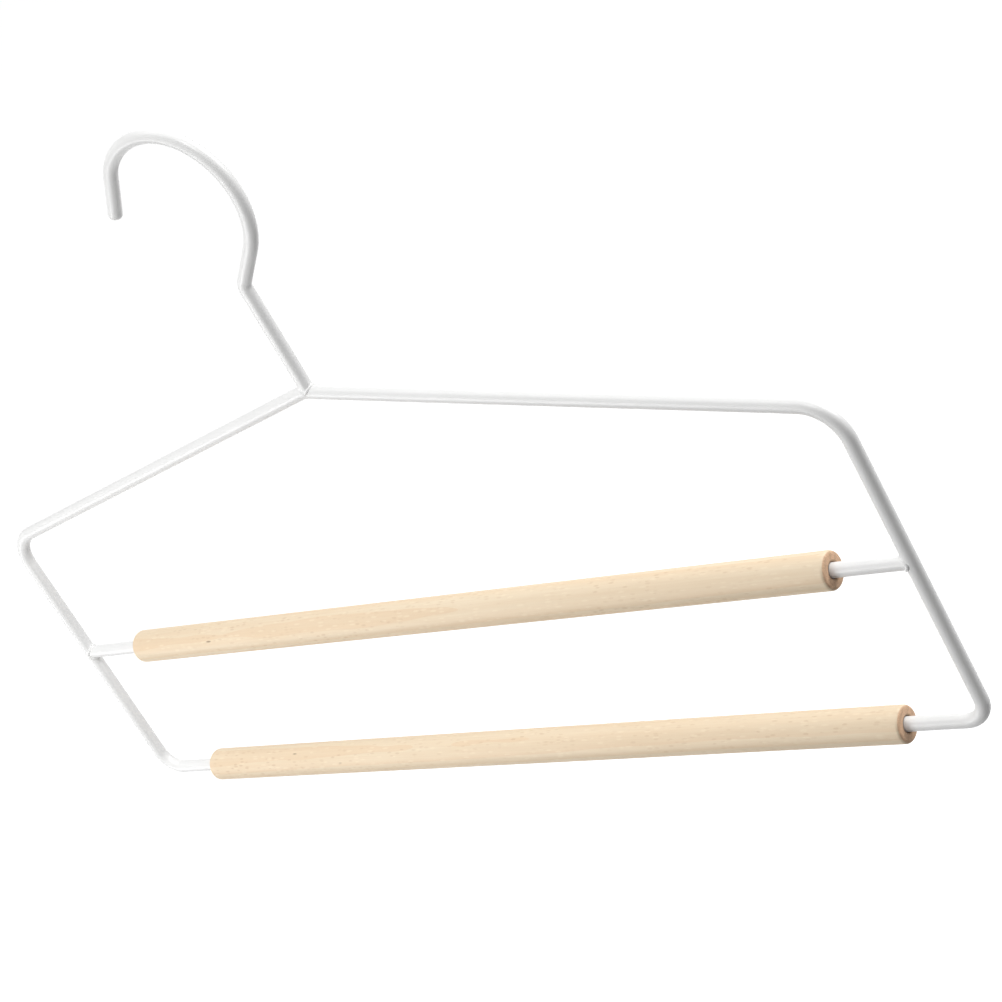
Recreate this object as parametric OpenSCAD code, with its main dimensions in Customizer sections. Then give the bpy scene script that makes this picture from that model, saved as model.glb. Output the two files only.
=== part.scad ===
// Trouser hanger: a five-sided frame of bent round wire with a wire hook welded on its apex,
// and two wooden dowels that turn on wire pins between the frame's sides.
// Millimetres. +X runs along the dowels, +Y goes through the flat of the frame, +Z is up.
// The origin is the highest point of the inside of the hook, where the rail touches it.

/* [Wire] */
// Diameter of every wire, over its powder coat
wire_d = 4.7; // [3.5:0.1:6]

/* [Frame] */
// Width between the centre lines of the two side wires
frame_w = 364; // [280:1:440]
// Height of a side wire, from the lower pins to the shoulder corner
side_h = 112.3; // [90:0.1:180]
// Slope of the shoulders, from their corners up to the apex
shoulder_slope = 11.442; // [6:0.001:20]
// Centre line radius of the two lower corners, where the wire turns in to the lower pins
corner_r = 8; // [5:0.5:15]
// Centre line radius of the two shoulder corners
shoulder_r = 14; // [6:0.5:30]
// Centre line radius of the bend at the apex
apex_r = 8; // [5:0.5:40]

/* [Hook] */
// Centre line radius of the part that goes over the rail
hook_r = 25.9; // [18:0.1:34]
// Lean of the neck away from upright
neck_lean = 45.7; // [30:0.1:60]
// Straight and bent length of the neck, from the middle of its bend to the round of the hook
neck_len = 15; // [12:0.1:25]
// Centre line radius of the bend between stem and neck
neck_r = 4.5; // [4:0.1:8]
// Height of the stem, from the apex to the neck's bend
stem_h = 40.3; // [20:0.1:80]
// How far the stem stands to the right of the apex
stem_offset = 2; // [-3:0.1:3]
// Angle of the part that goes over the rail, up to the tighter bend at its tip
hook_turn = 167.98; // [140:0.01:185]
// Centre line radius of the tighter bend at the tip
tip_r = 18; // [12:0.5:26]
// Angle of the tighter bend at the tip
tip_turn = 25.1; // [5:0.1:40]
// Length of the straight tip, with its rounded end
tip_len = 15.4; // [6:0.1:30]
// Radius of the end edge of the tip
tip_edge_r = 1.7; // [0.5:0.1:1.7]

/* [Dowels] */
// Diameter of a dowel
dowel_d = 12; // [9:0.5:20]
// Radius of a dowel's end edges
dowel_edge_r = 1.2; // [0.4:0.1:2]
// Distance between the axes of the two dowels
dowel_gap = 58.5; // [30:0.1:75]
// How far the upper dowel has slid to the right on its pins
upper_slide = 2.4; // [-3:0.1:3]
// How far the lower dowel has slid to the right on its pins
lower_slide = 0.4; // [-3:0.1:3]

/* [Pins] */
// Length of bare pin between a side wire's centre line and a dowel's end
pin_show = 28.5; // [12:0.5:60]
// Depth that a pin goes into a dowel that lies centred
pin_reach = 15; // [8:0.5:30]
// Radial clearance of a pin in its bore
pin_clear = 0.1; // [0.05:0.01:0.1]
// Depth of bore left beyond the pin of a centred dowel, which lets the dowel slide
bore_spare = 4; // [3.5:0.5:8]

/* [Hidden] */
$fn = 64;

// The hook is laid out from the middle of its round, and the frame hangs from the hook's stem.
round_z = wire_d / 2 - hook_r;
neck_x = hook_r * cos(neck_lean) - neck_len * sin(neck_lean);
neck_z = round_z - hook_r * sin(neck_lean) - neck_len * cos(neck_lean);
neck_setback = setback(neck_r, neck_lean);
mid_x = neck_x - stem_offset;
apex_z = neck_z - stem_h;

// The frame's slopes and heights
shoulder_rise = frame_w / 2 * tan(shoulder_slope);
shoulder_len = frame_w / 2 / cos(shoulder_slope);
shoulder_turn = 90 - shoulder_slope;
lower_z = apex_z - shoulder_rise - side_h;
upper_z = lower_z + dowel_gap;

// The dowels and the pins that carry them
dowel_len = frame_w - 2 * pin_show;
pin_tip = dowel_len / 2 - pin_reach;
bore_d = wire_d + 2 * pin_clear;
bore_deep = pin_reach + bore_spare;

// How far a cutting shape stands past what it cuts
cut = 1;
// Extra angle of a bend, cut off again where its last face belongs
spare_turn = 2;

coat_colour = [0.93, 0.93, 0.92];
wood_colour = [0.89, 0.78, 0.62];

// How far a bend starts before the corner that it rounds
function setback(r, turn) = r * tan(turn / 2);

// The two moves that shape a wire: on by a length, or round to the left through an angle
function on(length) = [length];
function left(r, turn) = [r, turn];
function right(r, turn) = [r, -turn];

// A bend to the left that starts at the origin and heads along +Y
module bend(r, turn) {
  difference() {
    translate([-r, 0, 0])
      rotate_extrude(angle = turn + spare_turn)
        translate([r, 0])
          circle(d = wire_d);
    after_bend(r, turn)
      translate([-wire_d, 0, -wire_d])
        cube([2 * wire_d, wire_d, 2 * wire_d]);
  }
}

// Moves its children from the start of a bend to the left to the bend's end
module after_bend(r, turn) {
  translate([-r, 0, 0])
    rotate([0, 0, turn])
      translate([r, 0, 0])
        children();
}

// A wire that starts at the origin, heads along +Y and follows its moves in the XY plane.
// Each move is drawn where the move before it ended, and the children stand at the wire's end.
module wire(moves, i = 0) {
  if (i == len(moves)) {
    children();
  } else if (len(moves[i]) == 1) {
    rotate([-90, 0, 0])
      cylinder(h = moves[i][0], d = wire_d);
    translate([0, moves[i][0], 0])
      wire(moves, i + 1)
        children();
  } else {
    turned = moves[i][1] < 0 ? 1 : 0;
    mirror([turned, 0, 0]) {
      bend(moves[i][0], abs(moves[i][1]));
      after_bend(moves[i][0], abs(moves[i][1]))
        mirror([turned, 0, 0])
          wire(moves, i + 1)
            children();
    }
  }
}

// The frame's one wire, from the tip of the lower left pin up, over the apex and down to the tip of
// the lower right pin. The apex is bent in two halves.
module frame_wire() {
  pin_run = frame_w / 2 - pin_tip - setback(corner_r, 90);
  side_run = side_h - setback(corner_r, 90) - setback(shoulder_r, shoulder_turn);
  shoulder_run = shoulder_len - setback(shoulder_r, shoulder_turn) - setback(apex_r, 2 * shoulder_slope);
  color(coat_colour)
    translate([mid_x - pin_tip, 0, lower_z])
      rotate([90, 0, 0])
        rotate([0, 0, 90])
          wire([
            on(pin_run),
            right(corner_r, 90),
            on(side_run),
            right(shoulder_r, shoulder_turn),
            on(shoulder_run),
            right(apex_r, shoulder_slope),
            right(apex_r, shoulder_slope),
            on(shoulder_run),
            right(shoulder_r, shoulder_turn),
            on(side_run),
            right(corner_r, 90),
            on(pin_run)
          ]);
}

// The rounded end of a wire that heads along +Y
module wire_tip() {
  r = wire_d / 2;
  rotate([-90, 0, 0])
    rotate_extrude() {
      square([r - tip_edge_r, tip_edge_r]);
      translate([r - tip_edge_r, 0])
        intersection() {
          circle(r = tip_edge_r);
          square(tip_edge_r);
        }
    }
}

// The hook's wire, its foot cut to sit on the apex of the frame
module hook() {
  color(coat_colour)
    difference() {
      translate([neck_x, 0, apex_z])
        rotate([90, 0, 0])
          wire([
            on(stem_h - neck_setback),
            right(neck_r, neck_lean),
            on(neck_len - neck_setback),
            left(hook_r, hook_turn),
            left(tip_r, tip_turn),
            on(tip_len - tip_edge_r)
          ])
            wire_tip();
      frame_wire();
    }
}

// A pin from the right side wire to its tip in the upper dowel, its root cut to sit on the wire
module upper_pin() {
  color(coat_colour)
    difference() {
      translate([pin_tip, 0, upper_z])
        rotate([0, 90, 0])
          cylinder(h = frame_w / 2 - pin_tip, d = wire_d);
      translate([frame_w / 2, 0, upper_z - wire_d])
        cylinder(h = 2 * wire_d, d = wire_d);
    }
}

module upper_left_pin() {
  translate([mid_x, 0, 0])
    mirror([1, 0, 0])
      upper_pin();
}

module upper_right_pin() {
  translate([mid_x, 0, 0])
    upper_pin();
}

// Half of a dowel's lengthwise section, with rounded end edges
module dowel_section() {
  r = dowel_d / 2;
  inset = r - dowel_edge_r;
  translate([0, -dowel_len / 2]) {
    square([inset, dowel_len]);
    translate([0, dowel_edge_r])
      square([r, dowel_len - 2 * dowel_edge_r]);
    for (z = [dowel_edge_r, dowel_len - dowel_edge_r])
      translate([inset, z])
        circle(r = dowel_edge_r);
  }
}

// A dowel with a blind bore in each end
module dowel(z, slide) {
  color(wood_colour)
    translate([mid_x + slide, 0, z])
      rotate([0, 90, 0])
        difference() {
          rotate_extrude()
            dowel_section();
          for (end = [-1, 1])
            translate([0, 0, end * (dowel_len + cut - bore_deep) / 2])
              cylinder(h = bore_deep + cut, d = bore_d, center = true);
        }
}

module upper_dowel() {
  dowel(upper_z, upper_slide);
}

module lower_dowel() {
  dowel(lower_z, lower_slide);
}

frame_wire();
hook();
upper_left_pin();
upper_right_pin();
upper_dowel();
lower_dowel();
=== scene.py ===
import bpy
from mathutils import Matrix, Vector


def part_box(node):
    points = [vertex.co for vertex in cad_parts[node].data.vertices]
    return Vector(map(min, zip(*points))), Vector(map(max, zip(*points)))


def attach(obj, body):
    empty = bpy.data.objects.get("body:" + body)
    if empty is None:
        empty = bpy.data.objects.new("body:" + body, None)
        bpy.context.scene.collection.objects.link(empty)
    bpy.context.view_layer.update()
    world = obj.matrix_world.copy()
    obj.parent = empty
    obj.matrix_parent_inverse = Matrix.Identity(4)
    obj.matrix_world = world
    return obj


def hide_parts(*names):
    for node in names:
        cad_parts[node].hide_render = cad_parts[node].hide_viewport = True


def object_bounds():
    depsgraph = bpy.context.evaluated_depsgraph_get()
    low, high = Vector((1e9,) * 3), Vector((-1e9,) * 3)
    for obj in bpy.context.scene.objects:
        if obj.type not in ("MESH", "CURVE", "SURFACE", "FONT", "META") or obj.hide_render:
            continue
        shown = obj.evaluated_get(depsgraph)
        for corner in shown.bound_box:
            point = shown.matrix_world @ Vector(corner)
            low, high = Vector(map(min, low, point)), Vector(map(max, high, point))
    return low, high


bl_info = {
    "name": "Trouser hanger",
    "version": (1, 0, 0),
    "blender": (4, 5, 0),
    "location": "3D View > Sidebar > Hanger",
    "description": "Builds a coated wire trouser hanger with two turning beech dowels",
    "category": "Object",
}

import math

import bmesh
import bpy
from mathutils import Matrix, Vector

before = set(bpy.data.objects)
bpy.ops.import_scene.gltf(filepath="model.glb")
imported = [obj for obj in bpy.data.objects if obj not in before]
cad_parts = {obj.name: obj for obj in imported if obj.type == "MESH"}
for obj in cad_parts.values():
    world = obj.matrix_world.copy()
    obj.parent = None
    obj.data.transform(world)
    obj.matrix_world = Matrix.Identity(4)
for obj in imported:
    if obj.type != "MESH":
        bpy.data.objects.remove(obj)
CAD_LOW, CAD_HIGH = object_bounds()

MM = 0.001
WIRE_LOW, WIRE_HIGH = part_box("frame_wire")
RIGHT_PIN_LOW, RIGHT_PIN_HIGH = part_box("upper_right_pin")
WIRE_D = WIRE_HIGH.y - WIRE_LOW.y
HALF_WIDTH = (WIRE_HIGH.x - WIRE_LOW.x - WIRE_D) / 2
MID_X = (WIRE_LOW.x + WIRE_HIGH.x) / 2
LOWER_Z = WIRE_LOW.z + WIRE_D / 2
UPPER_Z = (RIGHT_PIN_LOW.z + RIGHT_PIN_HIGH.z) / 2
PIN_TIP = RIGHT_PIN_LOW.x - MID_X

# Mesh rings round a hook's tip, and facets of a weld bead
TIP_RINGS = 8
BEAD_SIDES = 16
# Swells of a weld bead: share of its unevenness, how many go round it, and where they start
BEAD_SWELLS = ((0.6, 3, 0.8), (0.4, 7, 2.1))
# Keeps a seam smooth where two wires of the same diameter cross
SEAM_SOFTNESS = 0.05
# Mesh rings along a bore, over a dowel's end face and round its end edge
BORE_RINGS = 8
FACE_RINGS = 5
EDGE_RINGS = 10
# Ring on a bore's bottom as a share of its radius, and the bend in its broken mouth
BOTTOM_RING = 0.6
MOUTH_BEND = 0.3
# How dark the painted shade in a bore still is at the bend in its mouth and at the rim
BEND_PAINTED_SHADE = 0.9
RIM_PAINTED_SHADE = 0.35

FLOOR_DROP = 0.35
FLOOR_HALF = 6.0
FLOOR_GREY = 0.45
# A little under the room's white, so that the floor's far edge can't be seen against it
FLOOR_LIFT = 0.985
# Direction from the place that a lamp looks at, distance, size, and that place if it isn't the middle
LAMPS = {
    "key": ((0.35, -0.35, 0.87), 1.2, 0.3, None),
    "top": ((-0.29, -0.22, 0.90), 1.3, 0.8, None),
    "back": ((0.55, 0.62, 0.52), 1.3, 0.7, None),
    "side": ((-0.72, -0.62, -0.30), 1.3, 0.5, None),
    "near": ((-0.08, -1.0, 0.0), 0.38, 0.25, (-0.10, 0.0, -0.175)),
}
WHITE = (1.0, 1.0, 1.0, 1.0)
CAMERA_PLACE = (0.541862, -0.476630, 0.146857)
CAMERA_RIGHT = (0.746929, 0.476780, -0.463441)
CAMERA_UP = (0.111343, 0.597473, 0.794121)
CAMERA_LENS = 85.50
CAMERA_SENSOR = 36.0
CAMERA_CLIP = (0.01, 50.0)


class HangerWire(bpy.types.PropertyGroup):
    """Sizes of the frame's wire and of its bends"""
    diameter: bpy.props.FloatProperty(
        name="Wire diameter", description="Diameter of every wire, over its powder coat",
        default=WIRE_D, min=2 * MM, unit="LENGTH")
    side_height: bpy.props.FloatProperty(
        name="Side height", description="Height of a side wire up to the shoulder corner",
        default=112.3 * MM, min=50 * MM, unit="LENGTH")
    shoulder_slope: bpy.props.FloatProperty(
        name="Shoulder slope", description="Slope of the shoulders up to the apex",
        default=math.radians(11.442), min=0, subtype="ANGLE")
    corner_radius: bpy.props.FloatProperty(
        name="Lower corner radius", description="Centre line radius of the two lower corners",
        default=8 * MM, min=5 * MM, unit="LENGTH")
    shoulder_radius: bpy.props.FloatProperty(
        name="Shoulder radius", description="Centre line radius of the two shoulder corners",
        default=14 * MM, min=5 * MM, unit="LENGTH")
    apex_radius: bpy.props.FloatProperty(
        name="Apex radius", description="Centre line radius of the bend at the apex",
        default=8 * MM, min=5 * MM, unit="LENGTH")
    sides: bpy.props.IntProperty(
        name="Sides", description="Facets round a wire", default=48, min=12)
    step: bpy.props.FloatProperty(
        name="Step", description="Distance between two rings of a wire's mesh",
        default=3 * MM, min=0.5 * MM, unit="LENGTH")
    bend_step: bpy.props.FloatProperty(
        name="Bend step", description="Angle between two rings in a bend",
        default=math.radians(3), min=math.radians(1), subtype="ANGLE")


class HangerHook(bpy.types.PropertyGroup):
    """Sizes of the hook"""
    round_radius: bpy.props.FloatProperty(
        name="Round radius", description="Centre line radius of the part that goes over the rail",
        default=25.9 * MM, min=15 * MM, unit="LENGTH")
    round_turn: bpy.props.FloatProperty(
        name="Round turn", description="Angle of the part that goes over the rail",
        default=math.radians(167.98), subtype="ANGLE")
    neck_lean: bpy.props.FloatProperty(
        name="Neck lean", description="Lean of the neck away from upright",
        default=math.radians(45.7), subtype="ANGLE")
    neck_length: bpy.props.FloatProperty(
        name="Neck length", description="Length from the middle of the neck's bend to the round",
        default=15 * MM, unit="LENGTH")
    neck_radius: bpy.props.FloatProperty(
        name="Neck radius", description="Centre line radius between stem and neck",
        default=4.5 * MM, unit="LENGTH")
    stem_height: bpy.props.FloatProperty(
        name="Stem height", description="Height of the stem, from the apex to the neck's bend",
        default=40.3 * MM, unit="LENGTH")
    stem_offset: bpy.props.FloatProperty(
        name="Stem offset", description="How far the stem stands to the right of the apex",
        default=2 * MM, unit="LENGTH")
    tip_radius: bpy.props.FloatProperty(
        name="Tip bend radius", description="Centre line radius of the tighter bend at the tip",
        default=18 * MM, unit="LENGTH")
    tip_turn: bpy.props.FloatProperty(
        name="Tip turn", description="Angle of the tighter bend at the tip",
        default=math.radians(25.1), subtype="ANGLE")
    tip_length: bpy.props.FloatProperty(
        name="Tip length", description="Length of the straight tip with its rounded end",
        default=15.4 * MM, unit="LENGTH")
    tip_edge: bpy.props.FloatProperty(
        name="Tip edge radius", description="Radius of the end edge of the tip",
        default=1.7 * MM, unit="LENGTH")


class HangerWeld(bpy.types.PropertyGroup):
    """Sizes of the weld beads under the coat"""
    bead: bpy.props.FloatProperty(
        name="Bead diameter", description="Thickness of a weld bead",
        default=1.1 * MM, min=0.2 * MM, unit="LENGTH")
    unevenness: bpy.props.FloatProperty(
        name="Unevenness", description="How much a bead swells and thins",
        default=0.16, min=0, max=0.5, subtype="FACTOR")
    points: bpy.props.IntProperty(
        name="Points", description="Rings round a weld bead", default=72, min=12)


class HangerDowel(bpy.types.PropertyGroup):
    """Sizes of the dowels"""
    edge_radius: bpy.props.FloatProperty(
        name="End edge radius", description="Radius of a dowel's end edges",
        default=1.2 * MM, unit="LENGTH")
    clearance: bpy.props.FloatProperty(
        name="Pin clearance", description="Radial clearance of a pin in its bore",
        default=0.1 * MM, unit="LENGTH")
    bore_depth: bpy.props.FloatProperty(
        name="Bore depth", description="Depth of the blind bore in each end",
        default=19 * MM, unit="LENGTH")
    mouth: bpy.props.FloatProperty(
        name="Bore mouth", description="Width of the broken edge at the mouth of a bore",
        default=0.55 * MM, unit="LENGTH")
    waviness: bpy.props.FloatProperty(
        name="Waviness", description="How far the sanded surface strays from a true cylinder",
        default=0.03 * MM, unit="LENGTH")
    sides: bpy.props.IntProperty(
        name="Sides", description="Facets round a dowel", default=96, min=24)
    step: bpy.props.FloatProperty(
        name="Step", description="Distance between two rings of a dowel's mesh",
        default=2.5 * MM, min=0.5 * MM, unit="LENGTH")


class HangerLooks(bpy.types.PropertyGroup):
    """Colours and finishes"""
    coat: bpy.props.FloatVectorProperty(
        name="Coat colour", description="Colour of the powder coat",
        default=(0.915, 0.915, 0.912), size=3, min=0, max=1, subtype="COLOR")
    wood_light: bpy.props.FloatVectorProperty(
        name="Early wood", description="Colour of the wood between the growth rings",
        default=(0.915, 0.78, 0.59), size=3, min=0, max=1, subtype="COLOR")
    wood_dark: bpy.props.FloatVectorProperty(
        name="Late wood", description="Colour of the wood at the growth rings",
        default=(0.85, 0.63, 0.418), size=3, min=0, max=1, subtype="COLOR")
    fleck: bpy.props.FloatVectorProperty(
        name="Ray flecks", description="Colour of the short dark flecks",
        default=(0.58, 0.375, 0.21), size=3, min=0, max=1, subtype="COLOR")
    end_grain: bpy.props.FloatVectorProperty(
        name="End grain", description="Colour of the sawn ends and of the bores",
        default=(0.80, 0.53, 0.345), size=3, min=0, max=1, subtype="COLOR")


class HangerStage(bpy.types.PropertyGroup):
    """Light on the hanger"""
    room: bpy.props.FloatProperty(
        name="Room light", description="Strength of the light from all round",
        default=0.033, min=0, subtype="FACTOR")
    key: bpy.props.FloatProperty(
        name="Key lamp", description="Power of the small lamp above, in front of the right side",
        default=5.4, min=0, unit="POWER")
    top: bpy.props.FloatProperty(
        name="Top lamp", description="Power of the large soft lamp overhead",
        default=6.3, min=0, unit="POWER")
    back: bpy.props.FloatProperty(
        name="Back lamp", description="Power of the soft lamp above and behind the right side",
        default=13.9, min=0, unit="POWER")
    side: bpy.props.FloatProperty(
        name="Side lamp", description="Power of the lamp low in front of the left side",
        default=5.7, min=0, unit="POWER")
    near: bpy.props.FloatProperty(
        name="Near lamp", description="Power of the small lamp close in front of the dowels' left half",
        default=0.76, min=0, unit="POWER")


def on(length):
    """A straight move of a wire."""
    return ("on", length, 0.0)


def left(radius, turn):
    """A bend of a wire to the left, or to the right where the turn is negative."""
    return ("bend", radius, turn)


def setback(radius, turn):
    """How far a bend starts before the corner that it rounds."""
    return radius * math.tan(turn / 2)


def route(start, heading, moves, step, bend_step):
    """Centre line points in the plane of the wire that follow the moves from the start."""
    x, z = start
    points = [(x, z)]
    for kind, size, turn in moves:
        if kind == "on":
            count = max(1, math.ceil(size / step))
            for k in range(1, count + 1):
                reach = size * k / count
                points.append((x + reach * math.cos(heading), z + reach * math.sin(heading)))
        else:
            side = math.copysign(1, turn)
            centre_x = x - side * size * math.sin(heading)
            centre_z = z + side * size * math.cos(heading)
            count = max(1, math.ceil(abs(turn) / bend_step))
            for k in range(1, count + 1):
                angle = heading + turn * k / count
                points.append((centre_x + side * size * math.sin(angle),
                               centre_z - side * size * math.cos(angle)))
            heading += turn
        x, z = points[-1]
    return points, heading


def add_node(tree, kind, inputs=None, **settings):
    """A node with its settings, and its inputs set or linked."""
    node = tree.nodes.new(kind)
    for key, value in settings.items():
        setattr(node, key, value)
    for key, value in (inputs or {}).items():
        if isinstance(value, bpy.types.NodeSocket):
            tree.links.new(value, node.inputs[key])
        else:
            node.inputs[key].default_value = value
    return node


def maths(tree, operation, first, second):
    """Two values put together by an operation."""
    return add_node(tree, "ShaderNodeMath", {0: first, 1: second},
                    operation=operation).outputs["Value"]


def product(tree, first, second):
    """Two values multiplied."""
    return maths(tree, "MULTIPLY", first, second)


def new_group(name, kind, inputs, output):
    """A new node group with its inputs and its one output."""
    tree = bpy.data.node_groups.new(name, kind)
    for label, socket in inputs.items():
        tree.interface.new_socket(label, in_out="INPUT", socket_type=socket)
    label, socket = output
    tree.interface.new_socket(label, in_out="OUTPUT", socket_type=socket)
    return tree, tree.nodes.new("NodeGroupInput").outputs


def swept_wire_group():
    """Geometry nodes that sweep a round wire along a path whose points carry their own thickness."""
    tree = bpy.data.node_groups.get("swept wire")
    if tree:
        return tree
    tree, given = new_group("swept wire", "GeometryNodeTree", {
        "Path": "NodeSocketGeometry", "Diameter": "NodeSocketFloat", "Sides": "NodeSocketInt",
        "Finish": "NodeSocketMaterial"}, ("Wire", "NodeSocketGeometry"))
    thickness = add_node(tree, "GeometryNodeInputNamedAttribute", {"Name": "thickness"},
                         data_type="FLOAT").outputs["Attribute"]
    line = add_node(tree, "GeometryNodeMeshToCurve", {"Mesh": given["Path"]}).outputs["Curve"]
    circle = add_node(tree, "GeometryNodeCurvePrimitiveCircle", {
        "Resolution": given["Sides"], "Radius": product(tree, given["Diameter"], 0.5)}).outputs["Curve"]
    sweep = add_node(tree, "GeometryNodeCurveToMesh",
                     {"Curve": line, "Profile Curve": circle, "Scale": thickness, "Fill Caps": True})
    smooth = add_node(tree, "GeometryNodeSetShadeSmooth", {0: sweep.outputs["Mesh"]}).outputs[0]
    real = add_node(tree, "GeometryNodeRealizeInstances", {0: smooth}).outputs[0]
    done = add_node(tree, "GeometryNodeSetMaterial",
                    {"Geometry": real, "Material": given["Finish"]}).outputs["Geometry"]
    add_node(tree, "NodeGroupOutput", {"Wire": done})
    return tree


def link_piece(name, mesh):
    """A new object of the scene for a finished mesh."""
    piece = bpy.data.objects.new(name, mesh)
    bpy.context.scene.collection.objects.link(piece)
    return piece


def turn_outwards(mesh):
    """Points a closed mesh's faces outwards."""
    shape = bmesh.new()
    shape.from_mesh(mesh)
    bmesh.ops.recalc_face_normals(shape, faces=shape.faces)
    shape.to_mesh(mesh)
    shape.free()


def swept_piece(name, points, thickness, diameter, sides, finish, closed=False):
    """A wire as a plain mesh, swept along points by geometry nodes."""
    count = len(points)
    edges = [(k, k + 1) for k in range(count - 1)] + ([(count - 1, 0)] if closed else [])
    path_mesh = bpy.data.meshes.new(name + "_path")
    path_mesh.from_pydata(points, edges, [])
    path_mesh.attributes.new("thickness", "FLOAT", "POINT").data.foreach_set("value", thickness)
    path = link_piece(name + "_path", path_mesh)
    modifier = path.modifiers.new("swept wire", "NODES")
    modifier.node_group = swept_wire_group()
    values = {"Diameter": diameter, "Sides": sides, "Finish": finish}
    for socket in modifier.node_group.interface.items_tree:
        if socket.name in values:
            modifier[socket.identifier] = values[socket.name]
    path.update_tag()
    bpy.context.view_layer.update()
    depsgraph = bpy.context.evaluated_depsgraph_get()
    mesh = bpy.data.meshes.new_from_object(path.evaluated_get(depsgraph), depsgraph=depsgraph)
    path.modifiers.remove(modifier)
    bpy.data.objects.remove(path)
    mesh.name = name
    turn_outwards(mesh)
    return link_piece(name, mesh)


def round_the_end(points, thickness, heading, edge, radius):
    """Adds rings to a wire's end that round its edge."""
    x, z = points[-1]
    for k in range(1, TIP_RINGS + 1):
        angle = math.pi / 2 * k / TIP_RINGS
        reach = edge * math.sin(angle)
        points.append((x + reach * math.cos(heading), z + reach * math.sin(heading)))
        thickness.append(1 - edge * (1 - math.cos(angle)) / radius)


def standing(points):
    """Points of the wire's own plane as places in the model."""
    return [(x, 0.0, z) for x, z in points]


def finish_piece(piece, body, slot, *nodes):
    """Hands a finished piece over to the body that it moves with."""
    if nodes:
        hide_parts(*nodes)
    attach(piece, body)


def tone_group():
    """A soft random value between two limits, for colour, gloss and height."""
    tree = bpy.data.node_groups.get("tone variation")
    if tree:
        return tree
    tree, given = new_group("tone variation", "ShaderNodeTree", {
        "Vector": "NodeSocketVector", "Scale": "NodeSocketFloat", "Detail": "NodeSocketFloat",
        "Low": "NodeSocketFloat", "High": "NodeSocketFloat"}, ("Value", "NodeSocketFloat"))
    noise = add_node(tree, "ShaderNodeTexNoise", {
        "Vector": given["Vector"], "Scale": given["Scale"], "Detail": given["Detail"]})
    spread = add_node(tree, "ShaderNodeMapRange", {
        "Value": noise.outputs["Fac"], "From Min": 0.3, "From Max": 0.7,
        "To Min": given["Low"], "To Max": given["High"]})
    add_node(tree, "NodeGroupOutput", {"Value": spread.outputs["Result"]})
    return tree


def tone(tree, vector, scale=1.0, low=0.0, high=1.0, detail=2.0):
    """The shared soft random value, placed in a material."""
    return add_node(tree, "ShaderNodeGroup", {
        "Vector": vector, "Scale": scale, "Detail": detail, "Low": low, "High": high},
        node_tree=tone_group()).outputs["Value"]


def mix_colour(tree, factor, first, second, blend="MIX"):
    """A colour mixed from two others."""
    node = tree.nodes.new("ShaderNodeMix")
    node.data_type = "RGBA"
    node.blend_type = blend
    for socket, value in ((node.inputs["Factor"], factor), (node.inputs[6], first),
                          (node.inputs[7], second)):
        if isinstance(value, bpy.types.NodeSocket):
            tree.links.new(value, socket)
        else:
            socket.default_value = value
    return node.outputs[2]


def lay_over(tree, base, mask, share, colour):
    """A colour laid over another where a mask is, up to a share of it."""
    return mix_colour(tree, product(tree, mask, share), base, colour)


def opaque(colour, share=1.0):
    """A colour with its alpha, made darker or paler by a share."""
    return (*[c * share for c in colour], 1.0)


def new_material(name):
    """An empty material with its shader, and its object coordinates."""
    material = bpy.data.materials.new(name)
    material.use_nodes = True
    tree = material.node_tree
    shader = tree.nodes["Principled BSDF"]
    place = tree.nodes.new("ShaderNodeTexCoord").outputs["Object"]
    return material, tree, shader, place


def coat_material():
    """White powder coat: faint clouding, uneven gloss and orange peel."""
    material = bpy.data.materials.get("white_powder_coat")
    if material:
        return material
    colour = bpy.context.scene.hanger_looks.coat
    material, tree, shader, place = new_material("white_powder_coat")
    clouding = tone(tree, place, scale=70)
    speck = tone(tree, place, scale=1400, detail=3)
    base = mix_colour(tree, clouding, opaque(colour), opaque(colour, 0.975))
    base = mix_colour(tree, speck, base, opaque((0.985, 0.985, 0.98)), "MULTIPLY")
    gloss = tone(tree, place, scale=420, low=0.30, high=0.40)
    peel = tone(tree, place, scale=1500, detail=1)
    bump = add_node(tree, "ShaderNodeBump", {
        "Height": peel, "Strength": 0.12, "Distance": 0.00012})
    tree.links.new(base, shader.inputs["Base Color"])
    tree.links.new(gloss, shader.inputs["Roughness"])
    tree.links.new(bump.outputs["Normal"], shader.inputs["Normal"])
    shader.inputs["Specular IOR Level"].default_value = 0.5
    return material


def stretched(tree, place, scale, turn=(0.0, 0.0, 0.0), shift=(0.0, 0.0, 0.0)):
    """Object coordinates drawn out along the grain."""
    return add_node(tree, "ShaderNodeMapping", {
        "Vector": place, "Location": shift, "Rotation": turn, "Scale": scale}).outputs["Vector"]


def ramp(tree, value, low, high=1.0, to_low=0.0, to_high=1.0):
    """A value spread between two limits and held there."""
    return add_node(tree, "ShaderNodeMapRange", {
        "Value": value, "From Min": low, "From Max": high, "To Min": to_low,
        "To Max": to_high}, interpolation_type="SMOOTHSTEP").outputs["Result"]


def fleck_group():
    """A mask of short dashes, one in each cell, of which a share is drawn."""
    tree = bpy.data.node_groups.get("wood flecks")
    if tree:
        return tree
    tree, given = new_group("wood flecks", "ShaderNodeTree", {
        "Vector": "NodeSocketVector", "Size": "NodeSocketFloat", "Share": "NodeSocketFloat"},
        ("Mask", "NodeSocketFloat"))
    cells = add_node(tree, "ShaderNodeTexVoronoi", {
        "Vector": given["Vector"], "Scale": 1.0, "Randomness": 1.0})
    solid = product(tree, given["Size"], 0.45)
    dash = ramp(tree, cells.outputs["Distance"], solid, given["Size"], to_low=1.0, to_high=0.0)
    drawn = add_node(tree, "ShaderNodeSeparateColor", {"Color": cells.outputs["Color"]})
    kept = maths(tree, "LESS_THAN", drawn.outputs["Red"], given["Share"])
    add_node(tree, "NodeGroupOutput", {"Mask": product(tree, dash, kept)})
    return tree


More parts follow.
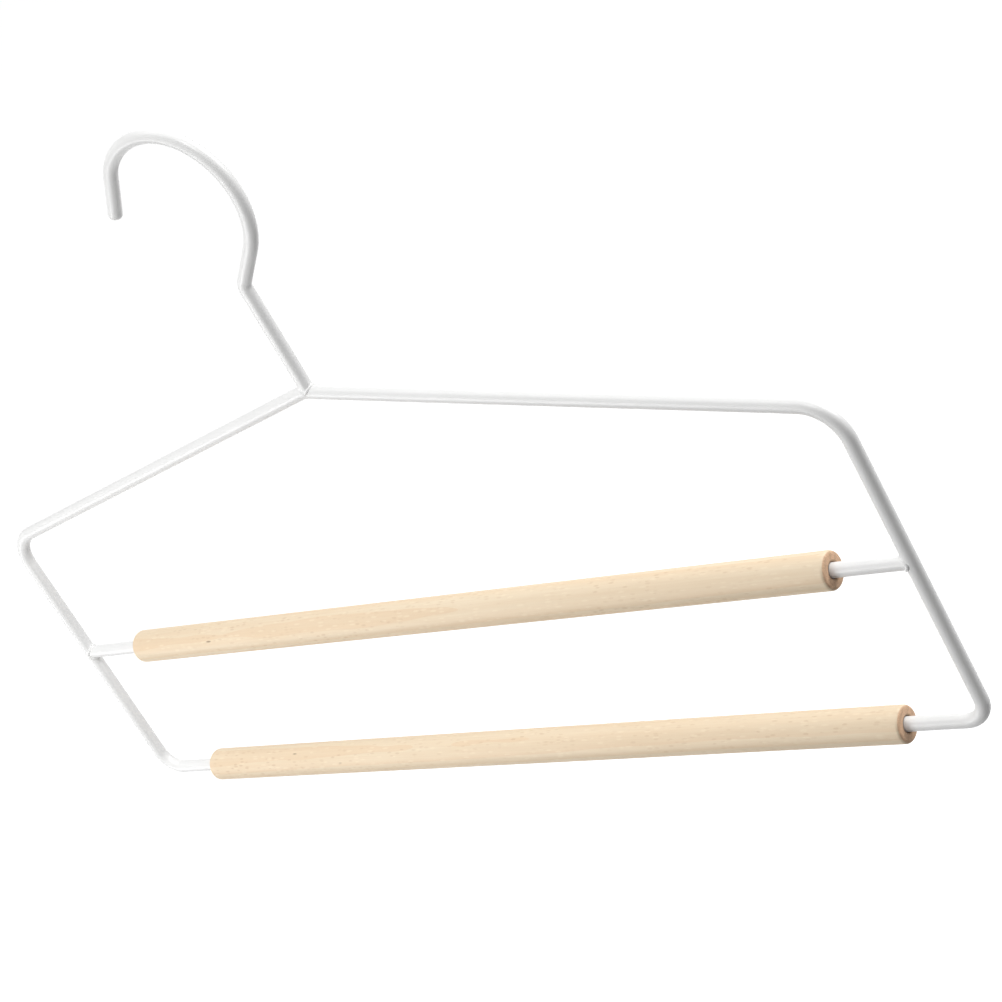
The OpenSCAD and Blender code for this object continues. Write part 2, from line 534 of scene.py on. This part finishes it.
def flecks(tree, place, cell, size, share):
    """The shared dashes in a material. The cell is the room of one dash, in millimetres."""
    grain = stretched(tree, place, tuple(1 / (c * MM) for c in cell), turn=(0.3, 0.01, 0.015))
    return add_node(tree, "ShaderNodeGroup", {"Vector": grain, "Size": size, "Share": share},
                    node_tree=fleck_group()).outputs["Mask"]


def mesh_value(tree, name):
    """A value that the mesh carries at its points."""
    return add_node(tree, "ShaderNodeAttribute", attribute_name=name,
                    attribute_type="GEOMETRY").outputs["Fac"]


def beech_material():
    """Pale sanded beech: growth rings, fibres, ray flecks, pores and darker end grain."""
    material = bpy.data.materials.get("sanded_beech")
    if material:
        return material
    looks = bpy.context.scene.hanger_looks
    material, tree, shader, place = new_material("sanded_beech")
    pith = (0.0, 46 * MM, 140 * MM)
    rings = add_node(tree, "ShaderNodeTexWave", {
        "Vector": stretched(tree, place, (0.22, 1, 1), turn=(0, 0.02, 0.03), shift=pith),
        "Scale": 110, "Distortion": 5.0, "Detail": 3.0, "Detail Scale": 0.35,
        "Detail Roughness": 0.55}, wave_type="RINGS", rings_direction="X",
        wave_profile="SAW").outputs["Fac"]
    fibres = tone(tree, stretched(tree, place, (45, 1900, 1900)), detail=4)
    streaks = tone(tree, stretched(tree, place, (9, 260, 260)), detail=3)
    base = mix_colour(tree, ramp(tree, rings, low=0.35, to_high=0.42),
                      opaque(looks.wood_light), opaque(looks.wood_dark))
    base = lay_over(tree, base, streaks, 0.34, opaque(looks.wood_dark))
    base = lay_over(tree, base, fibres, 0.22, opaque(looks.wood_dark, 0.9))
    patches = tone(tree, stretched(tree, place, (18, 110, 110)))
    rays = product(tree, flecks(tree, place, (2.9, 0.8, 1.0), size=0.5, share=0.36),
                   ramp(tree, patches, low=0.15, to_low=0.1))
    pale = flecks(tree, place, (3.8, 1.05, 0.85), size=0.5, share=0.3)
    specks = flecks(tree, place, (31, 7.4, 8.6), size=0.055, share=0.5)
    base = lay_over(tree, base, rays, 0.30, opaque(looks.fleck))
    base = lay_over(tree, base, pale, 0.45, opaque(looks.wood_light, 1.06))
    base = lay_over(tree, base, specks, 0.75, opaque(looks.fleck, 0.55))
    pores = tone(tree, place, scale=2600, low=0.82, high=1.12, detail=4)
    sawn = mix_colour(tree, ramp(tree, rings, low=0.2),
                      opaque(looks.end_grain), opaque(looks.end_grain, 0.88))
    sawn = mix_colour(tree, 1.0, sawn, pores, "MULTIPLY")
    base = mix_colour(tree, mesh_value(tree, "end_grain"), base, sawn)
    # Painted shade: the bores and their broken mouths are darkened towards a deep end grain brown, as
    # if shade fell into the holes.
    base = mix_colour(tree, mesh_value(tree, "bore_shade"), base, opaque(looks.end_grain, 0.28))
    dull = tone(tree, stretched(tree, place, (40, 500, 500)), low=0.46, high=0.62)
    height = maths(tree, "ADD", fibres, product(tree, rays, -0.6))
    bump = add_node(tree, "ShaderNodeBump", {
        "Height": height, "Strength": 0.22, "Distance": 0.0001})
    tree.links.new(base, shader.inputs["Base Color"])
    tree.links.new(dull, shader.inputs["Roughness"])
    tree.links.new(bump.outputs["Normal"], shader.inputs["Normal"])
    shader.inputs["Specular IOR Level"].default_value = 0.2
    return material


def frame_route():
    """Centre line of the frame's wire, from the lower left pin's tip to the lower right one's."""
    wire = bpy.context.scene.hanger_wire
    slope, turn = wire.shoulder_slope, math.pi / 2 - wire.shoulder_slope
    corner = setback(wire.corner_radius, math.pi / 2)
    shoulder = setback(wire.shoulder_radius, turn)
    pin_run = HALF_WIDTH - PIN_TIP - corner
    side_run = wire.side_height - corner - shoulder
    shoulder_run = HALF_WIDTH / math.cos(slope) - shoulder - setback(wire.apex_radius, 2 * slope)
    half = [on(pin_run), left(wire.corner_radius, -math.pi / 2), on(side_run),
            left(wire.shoulder_radius, -turn), on(shoulder_run)]
    moves = half + [left(wire.apex_radius, -2 * slope)] + half[::-1]
    start = (MID_X - PIN_TIP, LOWER_Z)
    return route(start, math.pi, moves, wire.step, wire.bend_step)[0]


def stem_foot():
    """Where the middle of the hook's stem meets the corner point of the apex."""
    wire, hook = bpy.context.scene.hanger_wire, bpy.context.scene.hanger_hook
    apex_z = LOWER_Z + wire.side_height + HALF_WIDTH * math.tan(wire.shoulder_slope)
    return MID_X + hook.stem_offset, apex_z


class HANGER_OT_frame_wire(bpy.types.Operator):
    """Sweep the frame's wire from pin tip to pin tip"""
    bl_idname = "hanger.frame_wire"
    bl_label = "Frame wire"

    def execute(self, context):
        wire = context.scene.hanger_wire
        points = frame_route()
        piece = swept_piece("coated_frame_wire", standing(points), [1.0] * len(points),
                            wire.diameter, wire.sides, coat_material())
        finish_piece(piece, "frame", "white_coat", "frame_wire")
        return {"FINISHED"}


class HANGER_OT_hook(bpy.types.Operator):
    """Sweep the hook from its foot on the apex to its rounded tip"""
    bl_idname = "hanger.hook"
    bl_label = "Hook"

    def execute(self, context):
        wire, hook = context.scene.hanger_wire, context.scene.hanger_hook
        neck = setback(hook.neck_radius, hook.neck_lean)
        moves = [on(hook.stem_height - neck), left(hook.neck_radius, -hook.neck_lean),
                 on(hook.neck_length - neck), left(hook.round_radius, hook.round_turn),
                 left(hook.tip_radius, hook.tip_turn), on(hook.tip_length - hook.tip_edge)]
        points, heading = route(stem_foot(), math.pi / 2, moves, wire.step, wire.bend_step)
        thickness = [1.0] * len(points)
        round_the_end(points, thickness, heading, hook.tip_edge, wire.diameter / 2)
        piece = swept_piece("coated_hook", standing(points), thickness,
                            wire.diameter, wire.sides, coat_material())
        finish_piece(piece, "frame", "white_coat", "hook")
        return {"FINISHED"}


class HANGER_OT_pins(bpy.types.Operator):
    """Sweep the two pins of the upper dowel, from the side wires to their tips"""
    bl_idname = "hanger.pins"
    bl_label = "Upper pins"

    def execute(self, context):
        wire = context.scene.hanger_wire
        for node, side in (("upper_left_pin", -1), ("upper_right_pin", 1)):
            start = (MID_X + side * HALF_WIDTH, UPPER_Z)
            heading = math.pi if side > 0 else 0.0
            points, _ = route(start, heading, [on(HALF_WIDTH - PIN_TIP)], wire.step, wire.bend_step)
            piece = swept_piece("coated_" + node, standing(points), [1.0] * len(points),
                                wire.diameter, wire.sides, coat_material())
            finish_piece(piece, "frame", "white_coat", node)
        return {"FINISHED"}


def seam_offset(radius, turn):
    """How far a seam stands off a wire's centre line where another wire meets it."""
    return radius * math.sqrt(math.cos(turn) ** 2 + SEAM_SOFTNESS)


class HANGER_OT_welds(bpy.types.Operator):
    """Lay the weld beads at the hook's foot and at the upper pins' roots"""
    bl_idname = "hanger.welds"
    bl_label = "Weld beads"

    def lay_bead(self, name, points):
        weld = bpy.context.scene.hanger_weld
        turns = [math.tau * k / len(points) for k in range(len(points))]
        swell = [1 + weld.unevenness * sum(share * math.sin(waves * t + start)
                                           for share, waves, start in BEAD_SWELLS) for t in turns]
        piece = swept_piece(name, points, swell, weld.bead, BEAD_SIDES, coat_material(), closed=True)
        finish_piece(piece, "frame", "white_coat")

    def execute(self, context):
        wire, weld = context.scene.hanger_wire, context.scene.hanger_weld
        radius = wire.diameter / 2
        turns = [math.tau * k / weld.points for k in range(weld.points)]
        for name, side in (("upper_left_weld", -1), ("upper_right_weld", 1)):
            seam = [(MID_X + side * (HALF_WIDTH - seam_offset(radius, t)),
                     radius * math.sin(t), UPPER_Z + radius * math.cos(t)) for t in turns]
            self.lay_bead(name, seam)
        foot_x, _ = stem_foot()
        line = [p for p in frame_route() if p[1] > UPPER_Z]
        seam = []
        for t in turns:
            x = foot_x + radius * math.cos(t)
            below = max((p for p in line if p[0] <= x), key=lambda p: p[0])
            above = min((p for p in line if p[0] > x), key=lambda p: p[0])
            share = (x - below[0]) / (above[0] - below[0])
            centre_z = below[1] + share * (above[1] - below[1])
            seam.append((x, radius * math.sin(t), centre_z + seam_offset(radius, t)))
        self.lay_bead("apex_weld", seam)
        return {"FINISHED"}


def dowel_section(length, radius):
    """Half section from one bore's bottom to the other's: place, radius, end grain, painted bore shade.
    """
    dowel = bpy.context.scene.hanger_dowel
    bore = WIRE_D / 2 + dowel.clearance
    half, edge, mouth = length / 2, dowel.edge_radius, dowel.mouth
    bottom = half - dowel.bore_depth
    # The bores carry full painted shade, which fades out over their broken mouths and stops at the end
    # face.
    end = [(bottom, bore * share, 1.0, 1.0) for share in (0.0, BOTTOM_RING, 1.0)]
    for k in range(1, BORE_RINGS):
        end.append((bottom + (dowel.bore_depth - mouth) * k / BORE_RINGS, bore, 1.0, 1.0))
    bend = mouth * MOUTH_BEND
    end += [(half - mouth, bore, 1.0, 1.0), (half - bend, bore + bend, 1.0, BEND_PAINTED_SHADE),
            (half, bore + mouth, 1.0, RIM_PAINTED_SHADE)]
    face = radius - edge - bore - mouth
    for k in range(1, FACE_RINGS):
        end.append((half, bore + mouth + face * k / FACE_RINGS, 1.0, 0.0))
    for k in range(EDGE_RINGS + 1):
        angle = math.pi / 2 * k / EDGE_RINGS
        # The end grain fades out over the middle fifth of the edge.
        sawn = min(1.0, max(0.0, 3 - 5 * k / EDGE_RINGS))
        end.append((half - edge + edge * math.cos(angle), radius - edge + edge * math.sin(angle),
                    sawn, 0.0))
    body_run = length - 2 * edge
    count = math.ceil(body_run / dowel.step)
    body = [(half - edge - body_run * k / count, radius, 0.0, 0.0) for k in range(1, count)]
    return end + body + [(-x, *rest) for x, *rest in reversed(end)]


def sanding(turn, x, phase):
    """How far the sanded surface lies in at a place, from 0 to 1, as slow waves round and along."""
    swell = 0.5 * math.sin(2 * turn + 21 * x + phase) + 0.5 * math.sin(3 * turn - 47 * x)
    return 0.5 + 0.5 * swell


def turned_dowel(name, node, phase):
    """A dowel turned from its half section, with a slightly wavy sanded surface."""
    dowel = bpy.context.scene.hanger_dowel
    low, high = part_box(node)
    centre, radius = (low + high) / 2, (high.z - low.z) / 2
    section = dowel_section(high.x - low.x, radius)
    shape = bmesh.new()
    grain = shape.verts.layers.float.new("end_grain")
    # Painted shade of the bores, taken from the section's last column.
    shade = shape.verts.layers.float.new("bore_shade")
    rings = []
    for x, r, end, dark in section:
        ring = []
        for k in range(dowel.sides if r > 0 else 1):
            turn = math.tau * k / dowel.sides
            away = r - (dowel.waviness * sanding(turn, x, phase) if end == 0.0 else 0.0)
            place = (centre.x + x, centre.y + away * math.sin(turn), centre.z + away * math.cos(turn))
            vertex = shape.verts.new(place)
            vertex[grain] = end
            vertex[shade] = dark
            ring.append(vertex)
        rings.append(ring)
    for first, second in zip(rings, rings[1:]):
        for k in range(dowel.sides):
            corners = [first[k % len(first)], first[(k + 1) % len(first)],
                       second[(k + 1) % len(second)], second[k % len(second)]]
            shape.faces.new(list(dict.fromkeys(corners))).smooth = True
    bmesh.ops.recalc_face_normals(shape, faces=shape.faces)
    mesh = bpy.data.meshes.new(name)
    shape.to_mesh(mesh)
    shape.free()
    mesh.materials.append(beech_material())
    return link_piece(name, mesh)


class HANGER_OT_dowels(bpy.types.Operator):
    """Turn the two dowels with their rounded ends and blind bores"""
    bl_idname = "hanger.dowels"
    bl_label = "Dowels"

    def execute(self, context):
        for node, body, phase in (("upper_dowel", "upper_roller", 0.4),
                                  ("lower_dowel", "lower_roller", 2.3)):
            piece = turned_dowel("turned_" + node, node, phase)
            finish_piece(piece, body, "pale_beech", node)
        return {"FINISHED"}


def seen_by_the_eye(tree):
    """A mask of the rays that see the room: those of the camera, of mirrors and of glass."""
    path = tree.nodes.new("ShaderNodeLightPath").outputs
    seen = maths(tree, "MAXIMUM", path["Is Camera Ray"], path["Is Glossy Ray"])
    return maths(tree, "MAXIMUM", seen, path["Is Transmission Ray"])


def make_world(strength):
    """A pale room that reads as white behind the object."""
    world = bpy.data.worlds.new("pale_room")
    bpy.context.scene.world = world
    world.use_nodes = True
    tree = world.node_tree
    tree.nodes.clear()
    seen = seen_by_the_eye(tree)
    white = add_node(tree, "ShaderNodeBackground", {"Color": WHITE, "Strength": 1.0})
    light = add_node(tree, "ShaderNodeBackground", {"Color": WHITE, "Strength": strength})
    mixed = add_node(tree, "ShaderNodeMixShader", {
        0: seen, 1: light.outputs[0], 2: white.outputs[0]})
    add_node(tree, "ShaderNodeOutputWorld", {"Surface": mixed.outputs[0]})


def floor_material():
    """Pale floor that looks white, keeps shadows and can't be seen from below."""
    material = bpy.data.materials.new("pale_floor")
    material.cycles.emission_sampling = "NONE"
    material.use_nodes = True
    tree = material.node_tree
    tree.nodes.clear()
    seen = seen_by_the_eye(tree)
    matt = add_node(tree, "ShaderNodeBsdfDiffuse", {"Color": opaque([FLOOR_GREY] * 3)})
    lift = add_node(tree, "ShaderNodeEmission", {
        "Color": WHITE, "Strength": product(tree, seen, FLOOR_LIFT)})
    both = add_node(tree, "ShaderNodeAddShader", {0: matt.outputs[0], 1: lift.outputs[0]})
    below = tree.nodes.new("ShaderNodeNewGeometry").outputs["Backfacing"]
    clear = tree.nodes.new("ShaderNodeBsdfTransparent")
    mixed = add_node(tree, "ShaderNodeMixShader", {0: below, 1: both.outputs[0], 2: clear.outputs[0]})
    add_node(tree, "ShaderNodeOutputMaterial", {"Surface": mixed.outputs[0]})
    return material


def make_lamp(name, energy, direction, distance, size, aim):
    """A soft square lamp at a distance from the place it looks at, or from the hanger's middle."""
    aim = Vector(aim) if aim else (CAD_LOW + CAD_HIGH) / 2
    away = Vector(direction).normalized()
    data = bpy.data.lights.new(name, "AREA")
    data.size = size
    data.energy = energy
    lamp = bpy.data.objects.new(name, data)
    bpy.context.scene.collection.objects.link(lamp)
    lamp.location = aim + away * distance
    lamp.rotation_euler = away.to_track_quat("Z", "Y").to_euler()
    lamp.visible_camera = False


class HANGER_OT_stage(bpy.types.Operator):
    """Set up the floor, the light and the camera"""
    bl_idname = "hanger.stage"
    bl_label = "Stage"

    def execute(self, context):
        light = context.scene.hanger_stage
        mesh = bpy.data.meshes.new("pale_floor")
        z = CAD_LOW.z - FLOOR_DROP
        corners = [(-1, -1), (1, -1), (1, 1), (-1, 1)]
        mesh.from_pydata([(x * FLOOR_HALF, y * FLOOR_HALF, z) for x, y in corners],
                         [], [(0, 1, 2, 3)])
        mesh.materials.append(floor_material())
        link_piece("pale_floor", mesh)
        make_world(light.room)
        for key, setting in LAMPS.items():
            make_lamp(key + "_lamp", getattr(light, key), *setting)
        data = bpy.data.cameras.new("camera")
        data.lens, data.sensor_width = CAMERA_LENS, CAMERA_SENSOR
        data.clip_start, data.clip_end = CAMERA_CLIP
        camera = bpy.data.objects.new("camera", data)
        context.scene.collection.objects.link(camera)
        right, up = Vector(CAMERA_RIGHT).normalized(), Vector(CAMERA_UP).normalized()
        back = right.cross(up).normalized()
        turn = Matrix((right, up, back)).transposed().to_4x4()
        camera.matrix_world = Matrix.Translation(CAMERA_PLACE) @ turn
        context.scene.camera = camera
        context.scene.view_settings.view_transform = "Standard"
        return {"FINISHED"}


class HANGER_PT_panel(bpy.types.Panel):
    """Lists the hanger's pieces and sizes"""
    bl_idname = "HANGER_PT_panel"
    bl_label = "Trouser hanger"
    bl_space_type = "VIEW_3D"
    bl_region_type = "UI"
    bl_category = "Hanger"

    def draw(self, context):
        for operator in OPERATORS:
            self.layout.operator(operator.bl_idname)
        for name, group in GROUPS.items():
            box = self.layout.box()
            for key in group.__annotations__:
                box.prop(getattr(context.scene, name), key)


GROUPS = {"hanger_wire": HangerWire, "hanger_hook": HangerHook, "hanger_weld": HangerWeld,
          "hanger_dowel": HangerDowel, "hanger_looks": HangerLooks, "hanger_stage": HangerStage}
OPERATORS = (HANGER_OT_frame_wire, HANGER_OT_hook, HANGER_OT_pins, HANGER_OT_welds,
             HANGER_OT_dowels, HANGER_OT_stage)


def register():
    """Registers the classes and puts their sizes on the scene."""
    for cls in (*GROUPS.values(), *OPERATORS, HANGER_PT_panel):
        bpy.utils.register_class(cls)
    for name, group in GROUPS.items():
        setattr(bpy.types.Scene, name, bpy.props.PointerProperty(type=group))


def unregister():
    """Takes off what register put on."""
    for name in GROUPS:
        delattr(bpy.types.Scene, name)
    for cls in (HANGER_PT_panel, *reversed(OPERATORS), *GROUPS.values()):
        bpy.utils.unregister_class(cls)


def main():
    register()
    bpy.ops.hanger.frame_wire()
    bpy.ops.hanger.hook()
    bpy.ops.hanger.pins()
    bpy.ops.hanger.welds()
    bpy.ops.hanger.dowels()
    bpy.ops.hanger.stage()


if __name__ == "__main__":
    main()
